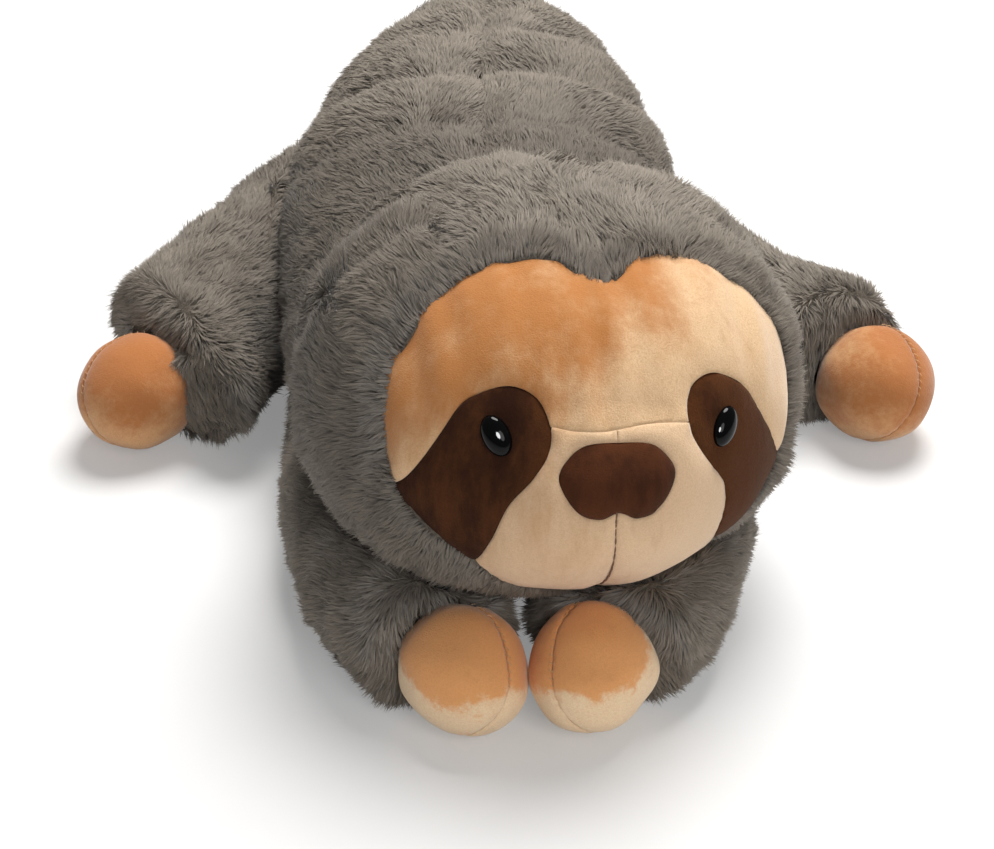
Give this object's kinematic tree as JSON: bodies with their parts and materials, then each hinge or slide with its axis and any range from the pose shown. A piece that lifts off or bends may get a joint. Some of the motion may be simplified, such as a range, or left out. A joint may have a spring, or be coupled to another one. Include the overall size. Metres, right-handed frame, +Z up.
{
  "type": "plush sloth",
  "caption": "Plush sloth lying on its belly, with long-pile fur, a short-pile face and paws, plastic eyes, and a head and limbs that turn at their seams.",
  "frame": {"origin": "middle of the toy's footprint, on the floor it lies on", "axes": "+Z up; the sloth faces -Y with its front paws that way; +X is the sloth's own left side"},
  "size_m": [0.3496, 0.4812, 0.163],
  "materials": {
    "grey_fur": "long-pile faux fur, taupe grey",
    "tan_plush": "short-pile plush, tan",
    "brown_plush": "short-pile plush, dark brown",
    "eye_plastic": "polished, black",
    "washer_plastic": "moulded, white",
    "stuffing": "polyester fibre, loose"
  },
  "bodies": {
    "torso": {"torso_stuffing": "stuffing", "back_fur_left": "grey_fur", "back_fur_right": "grey_fur", "belly_fur": "grey_fur"},
    "head": {"head_stuffing": "stuffing", "crown_fur_left": "grey_fur", "crown_fur_right": "grey_fur", "chin_fur": "grey_fur", "forehead": "tan_plush", "muzzle_left": "tan_plush", "muzzle_right": "tan_plush", "eye_patch_left": "brown_plush", "eye_patch_right": "brown_plush", "nose": "brown_plush", "eye_left": "eye_plastic", "eye_right": "eye_plastic", "eye_washer_left": "washer_plastic", "eye_washer_right": "washer_plastic"},
    "arm_left": {"arm_left_fur": "grey_fur", "arm_left_stuffing": "stuffing", "arm_left_paw_inner": "tan_plush", "arm_left_paw_outer": "tan_plush"},
    "arm_right": {"arm_right_fur": "grey_fur", "arm_right_stuffing": "stuffing", "arm_right_paw_inner": "tan_plush", "arm_right_paw_outer": "tan_plush"},
    "leg_left": {"leg_left_fur": "grey_fur", "leg_left_stuffing": "stuffing", "leg_left_paw_inner": "tan_plush", "leg_left_paw_outer": "tan_plush"},
    "leg_right": {"leg_right_fur": "grey_fur", "leg_right_stuffing": "stuffing", "leg_right_paw_inner": "tan_plush", "leg_right_paw_outer": "tan_plush"}
  },
  "joints": [
    {"name": "head_turn", "type": "hinge", "parent": "torso", "child": "head", "pos_m": [0.0096, -0.132, 0.087], "axis": [0, 0, 1], "range_deg": [-39, 11]},
    {"name": "shoulder_left", "type": "hinge", "parent": "torso", "child": "arm_left", "pos_m": [0.06128, -0.085, 0.03], "axis": [0, 0, 1], "range_deg": [0, 45]},
    {"name": "shoulder_right", "type": "hinge", "parent": "torso", "child": "arm_right", "pos_m": [-0.06272, -0.085, 0.03], "axis": [0, 0, 1], "range_deg": [-45, 0]},
    {"name": "hip_left", "type": "hinge", "parent": "torso", "child": "leg_left", "pos_m": [0.05208, 0.072, 0.037], "axis": [0, 0, 1], "range_deg": [0, 50]},
    {"name": "hip_right", "type": "hinge", "parent": "torso", "child": "leg_right", "pos_m": [-0.06718, 0.098, 0.037], "axis": [0, 0, 1], "range_deg": [-50, 0]}
  ]
}
